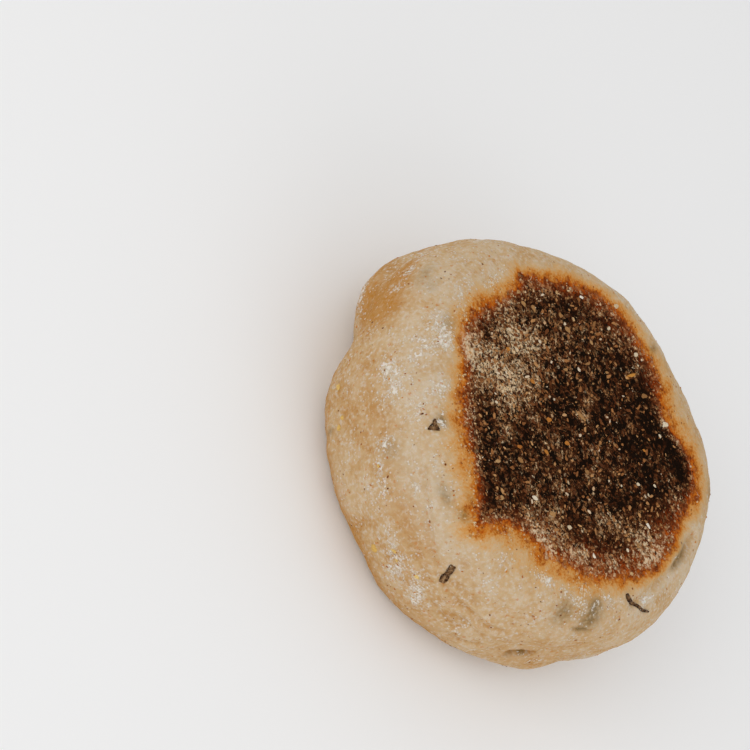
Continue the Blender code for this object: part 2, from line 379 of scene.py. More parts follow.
def depth_inside(places, line):
    """How far inside a closed line each place's plan lies; outside it is negative."""
    spots = places[:, :2]
    nearest = np.full(len(spots), np.inf)
    inside = np.zeros(len(spots), bool)
    for start, end in zip(line, np.roll(line, -1, axis=0)):
        nearest = np.minimum(nearest, gap_to_line(spots, start, end))
        crosses = (start[1] > spots[:, 1]) != (end[1] > spots[:, 1])
        way = end - start
        reach = start[0] + (spots[:, 1] - start[1]) / (way[1] or 1e-12) * way[0]
        inside ^= crosses & (spots[:, 0] < reach)
    return np.where(inside, nearest, -nearest)


def gap_to_route(places, skin, route):
    """Distance from each place to a line of places on the side."""
    stops = [np.array(on_side(skin, azimuth, latitude)[0]) for azimuth, latitude in route]
    gaps = (gap_to_line(places, start, end) for start, end in zip(stops, stops[1:]))
    return np.minimum.reduce(list(gaps))


# ----------------------------------------
# The crust.

FACE_SIZE = 0.52 * MM
SAME_PLACE = 1e-6
MELTING_PASSES = 20

# Baking is told as heat: -1 is the gold band, 0 the rim of the scorched patch and 1 its brown.
HEAT_LIMIT = 3.0
# Below a griddled face, in millimetres: the dough that still touched the griddle, how much more a
# drop counts than the same way along the face, and where scorching ends.
TOUCHING_DROP = 0.4
DROP_WEIGHT = 1.4
LAST_SCORCHED_DROP = 1.5

# The browned face was baked this much less than its outline says.
PALER_TOP = 0.08
# Flour stuck best to the half of the loaf that faces this way.
FLOURY_WAY = (-0.45, -0.89, 0.0)

# The lip beside a wrinkle: its height as a share of the depth, its place in half-widths.
LIP_HEIGHT = 0.4
LIP_PLACE = 2.2


def melted_loaf():
    """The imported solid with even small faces, its facets melted into one smooth skin."""
    merged = bmesh.new()
    merged.from_mesh(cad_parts[LOAF].data)
    bmesh.ops.remove_doubles(merged, verts=merged.verts, dist=SAME_PLACE)
    piece = place_object("melting", mesh_of(merged, "melting"))
    even = piece.modifiers.new("even", "REMESH")
    even.mode = "VOXEL"
    even.voxel_size = FACE_SIZE
    melt = piece.modifiers.new("melt", "SMOOTH")
    melt.factor = 0.5
    melt.iterations = MELTING_PASSES
    return finished_mesh(piece, "crust")


def scorch(places, corners, face_height, bands):
    """The heat that one griddled face took, round its own scorched patch."""
    depth = depth_inside(places, rounded(corners)) / MM
    drop = np.maximum(np.abs(places[:, 2] - face_height) / MM - TOUCHING_DROP, 0)
    azimuths = np.degrees(np.arctan2(places[:, 1], places[:, 0])) % 360
    known, golds, rusts = zip(*bands)
    gold = np.interp(azimuths, known, golds, period=360)
    rust = np.interp(azimuths, known, rusts, period=360)
    outside = -np.hypot(np.minimum(depth, 0), DROP_WEIGHT * drop) / gold
    scorched = (depth > 0) & (drop < LAST_SCORCHED_DROP)
    return np.clip(np.where(scorched, depth / rust, outside), -HEAT_LIMIT, HEAT_LIMIT)


def relief(places, skin, top_heat, under_heat):
    """How far the finished crust stands out from the melted loaf."""
    on_top = ease(top_heat, -0.4, 0.6)
    on_underside = ease(under_heat, -1.0, 0.0)
    dough = 1 - np.maximum(on_top, on_underside)
    rise = np.zeros(len(places))
    # Lumps: where they are, then their height and size in millimetres, and a seed.
    for share, height, size, seed in (
        (dough, 0.30, 13, 1),
        (dough, 0.28, 5, 2),
        (0.35 + 0.65 * dough, 0.11, 2, 3),
        (on_top, 0.22, 9, 4),
        (on_top, 0.08, 2.2, 5),
        (on_top, 0.05, 0.9, 6),
    ):
        rise += share * height * MM * ripple(places, size * MM, seed)
    for route, half_width, depth in WRINKLES:
        gap = gap_to_route(places, skin, route) / (half_width * MM)
        rise -= depth * MM * np.exp(-gap * gap)
        rise += LIP_HEIGHT * depth * MM * np.exp(-((gap - LIP_PLACE) ** 2))
    return rise


def meal_thickness(places, heat):
    """How thick the browned semolina lies on the scorched face."""
    on_upper_half = places[:, 2] / HEIGHT > 0.5
    meal = 0.38 + face_marks(places, MEAL_CLOUDS) * on_upper_half
    meal += 0.18 * (ease(heat, -0.4, 0.6) - ease(heat, 1.0, 2.6))
    # Adding a metre takes the noise from another stretch.
    meal += 0.10 * ripple(places, 3.5 * MM, 8) + 0.08 * ripple(places + 1.0, 8 * MM, 9)
    return meal


def crust_paint(places, skin, heat, rise):
    """What the crust's material and the scatters read: a number for each vertex, by name."""
    level = places[:, 2] / HEIGHT
    meal = meal_thickness(places, heat)
    flour = side_marks(places, skin, FLOUR_PLACES) + 0.12 * ripple(places, 6 * MM, 10)
    floury_half = ease(places @ np.array(FLOURY_WAY), -14 * MM, 10 * MM)
    bare_rim = ease(heat, -2.2, -1.2) * (1 - floury_half)
    rim = ease(heat, -1.4, 0.0) * (1 - ease(heat, 0.4, 1.2))
    drifts = ease(ripple(places + 2.0, 4 * MM, 15), -0.1, 0.5)
    drifted_flour = np.clip(flour * (0.4 + drifts), 0.01, 1.0) ** 1.5
    return {
        "baking": heat,
        # Relief and shoulder also go into the cream colour as painted shade in folds and low on the
        # side, and painted light on swells and the shoulder.
        "relief": np.clip(rise / (0.4 * MM), -1.5, 1.0),
        "shoulder": ease(level, 0.55, 0.85),
        "meal": np.clip(meal, 0.0, 1.5),
        "flour": np.clip(flour + 0.12 - 0.3 * bare_rim, 0.0, 1.0),
        "warmth_and_shade": np.clip(side_marks(places, skin, WARM_AND_SHADED_PLACES), 0.0, 1.0),
        "pallor": np.clip(side_marks(places, skin, PALE_PLACES), 0.0, 1.0),
        "herbs": np.clip(side_marks(places, skin, HERBS_UNDER_SKIN), 0.0, 1.0),
        "meal_cover": ease(heat, 0.0, 1.0) * np.clip(meal, 0.08, 1.0),
        "rim_cover": rim * (0.1 + 0.9 * floury_half) * (0.25 + drifts),
        "flour_cover": (1 - ease(heat, -1.2, -0.4)) * drifted_flour,
        "plain_cover": 1 - ease(heat, -0.8, 0.0),
    }


def crust_mesh():
    """The loaf's finished skin: the melted loaf with its lumps and wrinkles, painted."""
    mesh = melted_loaf()
    skin = tree_of(mesh)
    places = vectors(mesh.vertices, "co")
    normals = vectors(mesh.vertex_normals, "vector")
    on_top = places[:, 2] > 0.8 * HEIGHT
    top_heat = scorch(places, TOP_SCORCH, HEIGHT, TOP_BANDS) - PALER_TOP
    top_heat += face_marks(places, TOASTED_SPOTS) * on_top
    under_heat = scorch(places, UNDER_SCORCH, 0.0, UNDER_BANDS)
    rise = relief(places, skin, top_heat, under_heat)
    set_places(mesh, places + normals * rise[:, None])
    heat = np.maximum(top_heat, under_heat)
    for name, values in crust_paint(places, skin, heat, rise).items():
        paint(mesh, name, values)
    mesh.shade_smooth()
    return mesh


# ----------------------------------------
# Materials. Sizes in them are millimetres on the piece.

MATH, RANGE, VECTOR = "ShaderNodeMath", "ShaderNodeMapRange", "ShaderNodeVectorMath"
RAMP, MIX, NOISE = "ShaderNodeValToRGB", "ShaderNodeMix", "ShaderNodeTexNoise"
PAINTED = "ShaderNodeAttribute"
SOFTLY = {"interpolation_type": "SMOOTHSTEP"}
FACTOR, COLOUR_A, COLOUR_B = 0, 6, 7

# Noise on the dough: for each use, the size of its lumps, its detail and roughness, and a shift
# that gives it a stretch of its own.
DOUGH_NOISE = (
    ("dough_clouds", 5.0, 3.0, 0.6, 0.0),
    ("dough_mottle", 1.3, 2.0, 0.6, 7.0),
    ("golden_grain", 0.9, 3.0, 0.7, 27.0),
    ("golden_clouds", 4.0, 2.0, 0.6, 33.0),
    ("warm_clouds", 2.6, 3.0, 0.6, 0.0),
    ("warm_grain", 0.7, 2.0, 0.7, 37.0),
    ("flour_film", 0.8, 2.0, 0.6, 57.0),
    ("flour_drifts", 3.2, 3.0, 0.6, 61.0),
    ("heat_clouds", 3.0, 3.0, 0.65, 5.0),
    ("heat_grain", 0.5, 2.0, 0.7, 9.0),
    ("herb_mottle", 0.9, 2.0, 0.6, 12.0),
    ("meal_clouds", 2.4, 3.0, 0.6, 40.0),
    ("meal_shade", 0.7, 1.0, 0.6, 44.0),
    ("meal_rust", 1.1, 2.0, 0.6, 48.0),
    ("meal_dust", 0.5, 1.0, 0.6, 51.0),
    ("dough_tooth", 1.6, 4.0, 0.6, 3.0),
)

# The crust's colour by its heat: places from 0, the coolest, to 1, the hottest.
TOAST = (
    (0.0, "#C2A47C"),
    (1.0, "#150B05"),
    (0.23, "#CCA26C"),
    (0.34, "#CA9150"),
    (0.415, "#C27628"),
    (0.475, "#B65C14"),
    (0.54, "#943E0A"),
    (0.63, "#6B2908"),
    (0.73, "#461B08"),
    (0.84, "#281206"),
    (0.94, "#180C05"),
)
COOLEST, HOTTEST = -2.5, 2.5

# Clots of scorched semolina dust, coarse to fine: size, least amount, what thick meal adds to it,
# shift, then the dark and pale tones where the crust is black and where it is rust.
MEAL_CLOTS = (
    (1.7, 0.26, 0.60, 71.0, ("#34190A", "#6C3C1E"), ("#622A10", "#924A20")),
    (1.1, 0.04, 0.62, 83.0, ("#522D14", "#AC7E52"), ("#92502A", "#BE8254")),
    (0.8, -0.20, 0.85, 97.0, ("#80522A", "#E4C498"), ("#B67C4C", "#E8C8A2")),
)
MOST_CLOTS = 0.62


def join(tree, node, links):
    """Gives a node's inputs, in order or by name, a value, another node or one of its outputs."""
    for name, value in links.items() if isinstance(links, dict) else enumerate(links):
        if isinstance(value, bpy.types.Node):
            value = next(output for output in value.outputs if output.enabled)
        if isinstance(value, bpy.types.NodeSocket):
            tree.links.new(value, node.inputs[name])
        else:
            node.inputs[name].default_value = value


def add(tree, kind, links=(), stops=(), **settings):
    """Adds a node with its settings, its links and, where it is a colour ramp, its stops."""
    node = tree.nodes.new(kind)
    for name, value in settings.items():
        setattr(node, name, value)
    join(tree, node, links)
    for number, (position, code) in enumerate(stops):
        ramp = node.color_ramp.elements
        stop = ramp[number] if number < 2 else ramp.new(position)
        stop.position, stop.color = position, rgb(code)
    return node


def new_material(name):
    """A material with an empty Principled shader: (material, its tree, the shader)."""
    material = bpy.data.materials.new(name)
    material.use_nodes = True
    return material, material.node_tree, material.node_tree.nodes["Principled BSDF"]


def millimetres(tree):
    """The place on the piece, in millimetres."""
    here = add(tree, "ShaderNodeTexCoord").outputs["Object"]
    return add(tree, VECTOR, {0: here, "Scale": 1 / MM}, operation="SCALE")


def weighted_sum(tree, total, parts):
    """The total with each part's source added, times its weight."""
    for source, weight in parts:
        total = add(tree, MATH, (source, weight, total), operation="MULTIPLY_ADD")
    return total


def coated(tree, colour, coats):
    """A colour with coats laid over it, each as strong as the product of its factors."""
    for factors, coat in coats:
        cover = factors[0]
        for factor in factors[1:]:
            cover = add(tree, MATH, (cover, factor), operation="MULTIPLY")
        links = {FACTOR: cover, COLOUR_A: colour, COLOUR_B: coat}
        colour = add(tree, MIX, links, data_type="RGBA")
    return colour


def clots(tree, here, size, amount, shift):
    """Ragged clots that run together: an amount of 0 leaves the crust bare, 1 covers it."""
    links = {
        "Vector": add(tree, VECTOR, (here, (shift, shift, shift))),
        "Scale": 1 / size,
        "Detail": 3.0,
        "Roughness": 0.6,
        "Distortion": 0.6,
    }
    ragged = add(tree, NOISE, links)
    level = add(tree, MATH, (amount, 0.4, ragged), operation="MULTIPLY_ADD")
    return add(tree, RANGE, (level, 0.66, 0.74), **SOFTLY)


def specks(tree, here, size, density, shift, edge=0.5):
    """Ragged spots a little under the given size: (where they lie, a tone for each)."""
    wobble = add(tree, NOISE, {"Vector": here, "Scale": 2 / size, "Detail": 1.0})
    shifted = add(tree, VECTOR, (here, (shift, shift, shift)))
    links = (wobble.outputs["Color"], (0.9 * size,) * 3, shifted)
    ragged = add(tree, VECTOR, links, operation="MULTIPLY_ADD")
    cells = add(tree, "ShaderNodeTexVoronoi", {"Vector": ragged, "Scale": 1 / size})
    chance = add(tree, "ShaderNodeSeparateColor", (cells.outputs["Color"],))
    surplus = add(tree, MATH, (density, chance.outputs[0]), operation="SUBTRACT")
    present = add(tree, RANGE, (surplus, 0.0, 0.1), **SOFTLY)
    spot = add(tree, RANGE, (cells.outputs["Distance"], edge + 0.12, edge - 0.12), **SOFTLY)
    return add(tree, MATH, (present, spot), operation="MULTIPLY"), chance.outputs[1]


def dough_marks(tree, here):
    """What the dough's looks are worked out from: the crust's paint, and noise, by name."""
    painted = ("baking", "relief", "shoulder", "meal", "flour", "warmth_and_shade", "pallor", "herbs")
    marks = {name: add(tree, PAINTED, attribute_name=name).outputs["Fac"] for name in painted}
    for name, size, detail, roughness, shift in DOUGH_NOISE:
        links = {
            "Vector": add(tree, VECTOR, (here, (shift, shift, shift))),
            "Scale": 1 / size,
            "Detail": detail,
            "Roughness": roughness,
        }
        marks[name] = add(tree, NOISE, links)
    return marks


def heat_of(tree, marks):
    """The heat that the griddle gave the crust, with clouds and a grain in it."""
    clouds, grain = 2.2, 1.5
    # Noise is 0.5 on average, so half of what it adds is taken off first.
    heat = add(tree, MATH, (marks["baking"], -(clouds + grain) / 2))
    return weighted_sum(tree, heat, ((marks["heat_clouds"], clouds), (marks["heat_grain"], grain)))


def cream_dough(tree, here, marks):
    """Cream dough with painted light and shade: whiter on the shoulder and swells, tanner down the
    side and in folds.
    """
    # The shoulder and relief parts are painted light and shade: paler up on the shoulder and on
    # swells, tanner low on the side and in folds.
    parts = (
        (marks["dough_clouds"], 1.1),
        (marks["shoulder"], 0.22),
        (marks["relief"], 0.20),
        (marks["dough_mottle"], 0.9),
    )
    stops = ((0.15, "#B58852"), (0.95, "#CDB799"), (0.40, "#C09B6C"), (0.65, "#C7A981"))
    dough = add(tree, RAMP, (weighted_sum(tree, -0.55, parts),), stops)
    golden = add(tree, RANGE, (marks["golden_grain"], 0.50, 0.72), **SOFTLY)
    golden_places = add(tree, RANGE, (marks["golden_clouds"], 0.4, 0.6), **SOFTLY)
    cloudy = add(tree, RANGE, (marks["warm_clouds"], 0.25, 0.65, 0.7, 1.0), **SOFTLY)
    grainy = add(tree, RANGE, (marks["warm_grain"], 0.35, 0.65, 0.7, 1.1), **SOFTLY)
    # Warm tan, and painted shade in the pocket fold.
    warm_and_shade = add(tree, MATH, (marks["warmth_and_shade"], cloudy), operation="MULTIPLY")
    warm_and_shade = add(tree, MATH, (warm_and_shade, grainy), operation="MULTIPLY")
    film = weighted_sum(tree, marks["flour_film"], ((marks["flour"], 0.14), (warm_and_shade, -0.16)))
    film = add(tree, RANGE, (film, 0.44, 0.78, 0.0, 0.8), **SOFTLY)
    freckles, _ = specks(tree, here, 0.75, 0.10, 31.0, 0.42)
    coats = (
        ((golden, golden_places, 0.42), rgb("#BC884E")),
        ((warm_and_shade, 0.92), rgb("#B47C38")),
        ((marks["pallor"], 0.42), rgb("#C8B69C")),
        ((film,), rgb("#D0C1AD")),
        ((freckles, 0.6), rgb("#BE7632")),
    )
    return coated(tree, dough, coats)


def with_toast(tree, marks, heat, dough):
    """Gold, orange, rust and black over the dough, and herbs that show grey-green through it."""
    toast = add(tree, RAMP, (add(tree, RANGE, (heat, COOLEST, HOTTEST)),), TOAST)
    browned = add(tree, RANGE, (heat, -2.3, -0.8), **SOFTLY)
    mottle = add(tree, RANGE, (marks["herb_mottle"], 0.3, 0.6, 0.5, 1.0), **SOFTLY)
    unburnt = add(tree, RANGE, (heat, 0.3, -0.8, 0.0, 0.8), **SOFTLY)
    herbs = (marks["herbs"], mottle, unburnt)
    return coated(tree, dough, (((browned,), toast), (herbs, rgb("#755D35"))))


def with_flour(tree, here, marks, heat, crust):
    """Flour as specks that lie in drifts, and ragged clots where it is thick: (colour, cover)."""
    flour = marks["flour"]
    drifts = add(tree, RANGE, (marks["flour_drifts"], 0.44, 0.64, 0.35, 1.7), **SOFTLY)
    density = add(tree, MATH, (flour, drifts), operation="MULTIPLY")
    powdered, _ = specks(tree, here, 0.50, density, 17.0)
    toasting = add(tree, RANGE, (heat, -2.0, -0.6), **SOFTLY)
    powder = add(tree, RAMP, (toasting,), ((0.0, "#E2D9CD"), (1.0, "#E0C69E")))
    thick = add(tree, MATH, (flour, 0.66, -0.22), operation="MULTIPLY_ADD")
    caked = clots(tree, here, 1.0, thick, 23.0)
    not_black = add(tree, RANGE, (heat, 0.6, -0.4), **SOFTLY)
    coats = (((powdered, not_black, 0.65), powder), ((caked, not_black, 0.8), rgb("#E4DED4")))
    cover = add(tree, MATH, (powdered, caked), operation="MAXIMUM")
    return coated(tree, crust, coats), cover


def with_meal(tree, here, marks, heat, crust):
    """Semolina dust scorched on the griddle, in clots and crumbs: (colour, height)."""
    on_char = add(tree, RANGE, (heat, -0.8, 0.3), **SOFTLY)
    rusty = add(tree, RANGE, (heat, 1.6, -0.2), **SOFTLY)
    patchy = add(tree, MATH, (marks["meal_clouds"], 0.9, -0.45), operation="MULTIPLY_ADD")
    meal = add(tree, MATH, (marks["meal"], patchy))
    shade = add(tree, MATH, (meal, 0.35, marks["meal_shade"]), operation="MULTIPLY_ADD")
    paleness = add(tree, RANGE, (shade, 0.47, 0.95), **SOFTLY)
    height = 0.0
    for size, least, more, shift, *tones in MEAL_CLOTS:
        amount = add(tree, MATH, (meal, more, least), operation="MULTIPLY_ADD")
        amount = add(tree, MATH, (amount, MOST_CLOTS), operation="MINIMUM")
        cover = clots(tree, here, size, amount, shift)
        cover = add(tree, MATH, (cover, on_char), operation="MULTIPLY")
        dark, pale = (
            add(tree, RAMP, (rusty,), ((0.0, on_black), (1.0, on_rust)))
            for on_black, on_rust in zip(*tones)
        )
        tone = coated(tree, dark, (((paleness,), pale),))
        crust = coated(tree, crust, (((cover, 0.95), tone),))
        height = weighted_sum(tree, height, ((cover, 0.4),))

    rust = add(tree, RANGE, (marks["meal_rust"], 0.54, 0.66, 0.0, 0.6), **SOFTLY)
    thick = add(tree, RANGE, (meal, 0.5, 1.0), **SOFTLY)
    dust = add(tree, RANGE, (marks["meal_dust"], 0.45, 0.65, 0.0, 0.8), **SOFTLY)
    density = add(tree, MATH, (meal, 0.30), operation="MULTIPLY")
    crumbs, tone = specks(tree, here, 0.9, density, 103.0, 0.40)
    crumbs = add(tree, MATH, (crumbs, on_char), operation="MULTIPLY")
    crumb = add(tree, RAMP, (tone,), ((0.0, "#6E4524"), (1.0, "#DCC4A0"), (0.6, "#AA7E50")))
    burnt = add(tree, RANGE, (heat, 0.0, 1.2, 0.0, 0.9), **SOFTLY)
    pits = add(tree, MATH, (clots(tree, here, 0.6, 0.36, 113.0), burnt), operation="MULTIPLY")
    coats = (
        ((cover, rust, 0.6), rgb("#B0703A")),
        ((cover, thick, dust), rgb("#D8C8AC")),
        ((crumbs,), crumb),
        ((pits,), rgb("#1C0F07")),
    )
    return coated(tree, crust, coats), weighted_sum(tree, height, ((crumbs, 0.6), (pits, -0.5)))


def griddled_dough():
    """Floured bread dough baked on a griddle: matte cream, toasted gold, rust and char."""
    material, tree, shader = new_material("griddled_dough")
    here = millimetres(tree)
    marks = dough_marks(tree, here)
    heat = heat_of(tree, marks)
    crust = with_toast(tree, marks, heat, cream_dough(tree, here, marks))
    crust, flour = with_flour(tree, here, marks, heat, crust)
    crust, meal = with_meal(tree, here, marks, heat, crust)
    # Matte, with a fine tooth: the height is in millimetres.
    parts = ((marks["dough_tooth"], 0.30), (flour, 0.08), (meal, 0.20))
    bump = {"Height": weighted_sum(tree, 0.0, parts), "Distance": MM, "Strength": 1.0}
    looks = {
        "Base Color": crust,
        "Normal": add(tree, "ShaderNodeBump", bump),
        # Light goes a little way into the cream dough, and not into the char.
        "Subsurface Weight": add(tree, RANGE, (heat, 0.0, -1.0, 0.0, 0.12), **SOFTLY),
        "Subsurface Radius": (1.0, 0.5, 0.25),
        "Subsurface Scale": 1.0 * MM,
        "Roughness": 0.9,
        "Specular IOR Level": 0.03,
    }
    join(tree, shader, looks)
    return material


def toasted_grain(name, stops, roughness=0.75):
    """Dry milled grain. Each one's own tone, from 0 to 1, picks its colour from the stops."""
    material, tree, shader = new_material(name)
    tone = add(tree, PAINTED, attribute_name="tone").outputs["Fac"]
    colour = add(tree, RAMP, (tone,), stops)
    cloud = add(tree, NOISE, {"Vector": millimetres(tree), "Scale": 1 / 0.25, "Detail": 2.0})
    shade = add(tree, RANGE, (cloud, 0.3, 0.7, 0.75, 1.1))
    links = {FACTOR: 1.0, COLOUR_A: colour, COLOUR_B: shade}
    shaded = add(tree, MIX, links, data_type="RGBA", blend_type="MULTIPLY")
    join(tree, shader, {"Base Color": shaded, "Roughness": roughness, "Specular IOR Level": 0.08})
    return material


def dried_chive():
    """Chopped chive, baked dark brown at its edges, with a paler middle and floury flecks.

    The scales are lumps for each millimetre.
    """
    material, tree, shader = new_material("dried_chive")
    here = millimetres(tree)
    middle = add(tree, PAINTED, attribute_name="middle").outputs["Fac"]
    blotch = add(tree, NOISE, {"Vector": here, "Scale": 1.5, "Detail": 4.0})
    level = add(tree, MATH, (middle, 0.22, blotch), operation="MULTIPLY_ADD")
    stops = ((0.42, "#2A180C"), (0.80, "#9A7A56"), (0.55, "#4E331D"), (0.68, "#785839"))
    leaf = add(tree, RAMP, (level,), stops)
    dust = {"Vector": here, "Scale": 2.6, "Detail": 3.0, "Roughness": 0.7}
    floury = add(tree, RANGE, (add(tree, NOISE, dust), 0.60, 0.68, 0.0, 0.8))
    wrinkles = add(tree, NOISE, {"Vector": here, "Scale": 3.0, "Detail": 3.0})
    looks = {
        "Base Color": coated(tree, leaf, (((floury,), rgb("#CDBDA2")),)),
        "Normal": add(tree, "ShaderNodeBump", {"Height": wrinkles, "Distance": 0.2 * MM}),
        "Roughness": 0.85,
        "Specular IOR Level": 0.1,
    }
    join(tree, shader, looks)
    return material


# ----------------------------------------
# Grains, strewn by geometry nodes.

GRAIN_SHAPES = 4
# A grain's random choices, each from a lowest to a highest value.
GRAIN_CHOICES = (
    ("size", 0.0, 1.0),
    ("stretch", 0.0, 1.0),
    ("shape", 0.0, GRAIN_SHAPES - 0.01),
    ("pitch", -0.5, 0.5),
    ("roll", -0.5, 0.5),
    ("turn", 0.0, 2 * math.pi),
    ("tone", 0.0, 1.0),
)
# Most grains are small: the size's choice is raised to this power.
SMALLNESS = 2.2
SCATTER_INPUTS = {
    "Crust": "Geometry",
    "Map": "String",
    "Grains per square metre": "Float",
    "Smallest": "Float",
    "Largest": "Float",
    "Longest": "Float",
    "Flatness": "Float",
    "Seed": "Int",
    "Finish": "Material",
}


def grain_shapes(tree):
    """A few angular grains, one unit across, for the scatter to pick from."""
    shapes = tree.nodes.new("GeometryNodeJoinGeometry")
    for number in range(GRAIN_SHAPES):
        ball = add(tree, "GeometryNodeMeshIcoSphere", {"Radius": 0.5, "Subdivisions": 1})
        here = add(tree, "GeometryNodeInputPosition")
        links = {"Vector": here, "W": 3.7 * number, "Scale": 1.6, "Detail": 1.0}
        lumps = add(tree, NOISE, links, noise_dimensions="4D").outputs["Color"]
        push = add(tree, VECTOR, (lumps, (0.5, 0.5, 0.5)), operation="SUBTRACT")
        ragged = add(tree, "GeometryNodeSetPosition", {"Geometry": ball, "Offset": push})
        single = add(tree, "GeometryNodeGeometryToInstance", (ragged,))
        tree.links.new(single.outputs[0], shapes.inputs[0])
    return shapes


def scatter_tree():
    """Strews angular grains over the crust, thickest where the named map is highest."""
    tree = bpy.data.node_groups.new("strewn_grains", "GeometryNodeTree")
    for label, kind in SCATTER_INPUTS.items():
        tree.interface.new_socket(label, in_out="INPUT", socket_type="NodeSocket" + kind)
    tree.interface.new_socket("Grains", in_out="OUTPUT", socket_type="NodeSocketGeometry")
    given = tree.nodes.new("NodeGroupInput").outputs
    choice = {}
    for number, (name, low, high) in enumerate(GRAIN_CHOICES, start=1):
        seed = add(tree, MATH, (given["Seed"], number))
        choice[name] = add(tree, "FunctionNodeRandomValue", {2: low, 3: high, "Seed": seed})

    cover = add(tree, "GeometryNodeInputNamedAttribute", {"Name": given["Map"]}, data_type="FLOAT")
    density = add(tree, MATH, (cover, given["Grains per square metre"]), operation="MULTIPLY")
    links = {"Mesh": given["Crust"], "Density": density, "Seed": given["Seed"]}
    spots = add(tree, "GeometryNodeDistributePointsOnFaces", links)

    skewed = add(tree, MATH, (choice["size"], SMALLNESS), operation="POWER")
    span = add(tree, MATH, (given["Largest"], given["Smallest"]), operation="SUBTRACT")
    width = add(tree, MATH, (skewed, span, given["Smallest"]), operation="MULTIPLY_ADD")
    excess = add(tree, MATH, (given["Longest"], 1.0), operation="SUBTRACT")
    stretch = add(tree, MATH, (choice["stretch"], excess, 1.0), operation="MULTIPLY_ADD")
    length = add(tree, MATH, (width, stretch), operation="MULTIPLY")
    height = add(tree, MATH, (width, given["Flatness"]), operation="MULTIPLY")
    links = {
        "Points": spots.outputs["Points"],
        "Instance": grain_shapes(tree),
        "Pick Instance": True,
        "Instance Index": add(tree, MATH, (choice["shape"],), operation="FLOOR"),
        "Rotation": spots.outputs["Rotation"],
        "Scale": add(tree, "ShaderNodeCombineXYZ", (length, width, height)),
    }
    laid = add(tree, "GeometryNodeInstanceOnPoints", links)
    turns = add(tree, "ShaderNodeCombineXYZ", (choice["pitch"], choice["roll"], choice["turn"]))
    turned = add(tree, "GeometryNodeRotateInstances", {"Instances": laid, "Rotation": turns})
    links = {"Geometry": turned, "Name": "tone", "Value": choice["tone"]}
    kept = {"data_type": "FLOAT", "domain": "INSTANCE"}
    toned = add(tree, "GeometryNodeStoreNamedAttribute", links, **kept)
    real = add(tree, "GeometryNodeRealizeInstances", {"Geometry": toned})
    finished = add(tree, "GeometryNodeSetMaterial", {"Geometry": real, "Material": given["Finish"]})
    tree.links.new(finished.outputs[0], tree.nodes.new("NodeGroupOutput").inputs[0])
    return tree


def finish_piece(piece):
    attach(piece, "root")
    return piece


def strew(name, tree, crust, finish, cover, per_square_mm, sizes_mm, longest, flatness, seed):
    """One mesh of all the grains of a kind."""
    piece = place_object(name, crust.copy())
    modifier = piece.modifiers.new("strewn", "NODES")
    modifier.node_group = tree
    values = {
        "Map": cover,
        "Grains per square metre": per_square_mm / MM**2,
        "Smallest": sizes_mm[0] * MM,
        "Largest": sizes_mm[1] * MM,
        "Longest": longest,
        "Flatness": flatness,
        "Seed": seed,
        "Finish": finish,
    }
    for item in tree.interface.items_tree:
        if item.in_out == "INPUT" and item.name in values:
            modifier[item.identifier] = values[item.name]
    grains = finished_mesh(piece, name)
    set_places(grains, vectors(grains.vertices, "co"))
    grains.materials.clear()
    grains.materials.append(finish)
    grains.polygons.foreach_set("material_index", [0] * len(grains.polygons))
    return finish_piece(place_object(name, grains))


def strewn_grains(crust):
    """Semolina on the scorched face and by its rim, and flour and bran on the dough."""
    tree = scatter_tree()
    scorched = toasted_grain(
        "scorched_semolina",
        ((0.0, "#3A1D0D"), (1.0, "#E2D0B4"), (0.3, "#6E3F20"), (0.7, "#9E683A"), (0.93, "#C4935F")),
    )
    toasted = toasted_grain(
        "toasted_semolina", ((0.0, "#A8622A"), (1.0, "#E2CDA6"), (0.4, "#C79A64"), (0.8, "#D6B281"))
    )
    tones = ((0.0, "#D8C4A4"), (1.0, "#E6DDD0"), (0.4, "#DDD2C0"))
    flour = toasted_grain("wheat_flour", tones, roughness=0.95)
    bran = toasted_grain("wheat_bran", ((0.0, "#5A2C12"), (1.0, "#D08A3C"), (0.5, "#B0682C")))
    strew("scorched_semolina", tree, crust, scorched, "meal_cover", 1.1, (0.22, 0.85), 2.2, 0.6, 11)
    strew("toasted_semolina", tree, crust, toasted, "rim_cover", 0.9, (0.20, 0.55), 1.8, 0.6, 12)
    strew("flour_flecks", tree, crust, flour, "flour_cover", 0.9, (0.15, 0.55), 1.6, 0.4, 13)
    strew("bran_specks", tree, crust, bran, "plain_cover", 0.09, (0.15, 0.50), 1.6, 0.3, 14)


# ----------------------------------------
# Pieces laid one by one.

# A grain's height as a share of its width, and how far its corners stray, as a share of its size.
GRAIN_HEIGHT = 0.55
RAGGEDNESS = 0.30
# Without a seed of its own, vector noise follows the clock.
GRAIN_SEED = 1

# A leaf is this many rows long and columns wide. Its middle stands off the crust.
CHIVE_ROWS, CHIVE_COLUMNS = 16, 7
CHIVE_LIFT_MM, CHIVE_THICKNESS_MM = 0.15, 0.3
# Leaves narrower than this bake darker.
BROAD_CHIVE = 1.5 * MM


